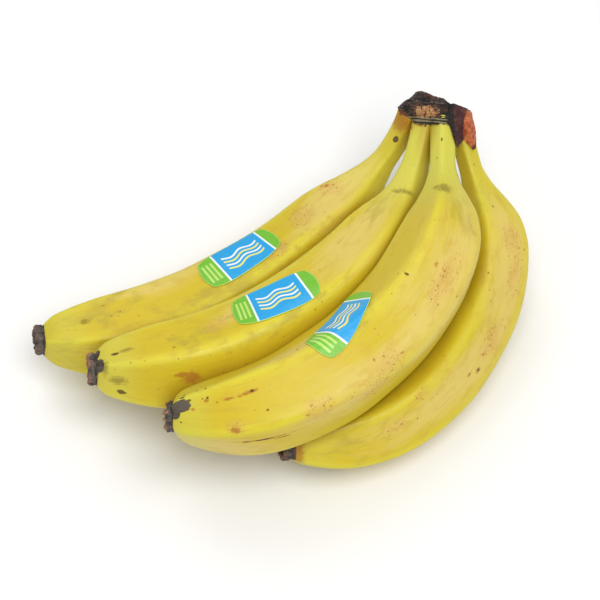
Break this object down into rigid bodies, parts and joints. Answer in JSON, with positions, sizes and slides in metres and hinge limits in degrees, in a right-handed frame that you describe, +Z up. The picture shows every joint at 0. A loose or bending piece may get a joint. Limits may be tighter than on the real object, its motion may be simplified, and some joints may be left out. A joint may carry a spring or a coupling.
{
  "type": "bunch of bananas",
  "caption": "Bunch of ripe bananas joined at one cut crown, lying on its side, with dried blossom tips and plain coloured fruit labels.",
  "frame": {"origin": "middle of the bunch's footprint, on the surface that it rests on", "axes": "+X across the bunch, from the tips on the left towards the fruit on the right, +Y from the tips towards the crown, +Z up"},
  "size_m": [0.2149, 0.1678, 0.0768],
  "materials": {
    "skin": "waxy semi-matte yellow skin with brown freckles",
    "crown": "dry, dark brown, fibrous cut stalk",
    "blossom": "dry, blackish, rough",
    "label": "thin satin film, blue between two green ends"
  },
  "bodies": {
    "root": {"banana_1": "skin", "banana_2": "skin", "banana_3": "skin", "banana_4": "skin", "blossom_tip_1": "blossom", "blossom_tip_2": "blossom", "blossom_tip_3": "blossom", "blossom_tip_4": "blossom", "crown": "crown", "label_1": "label", "label_2": "label", "label_3": "label"}
  },
  "joints": []
}
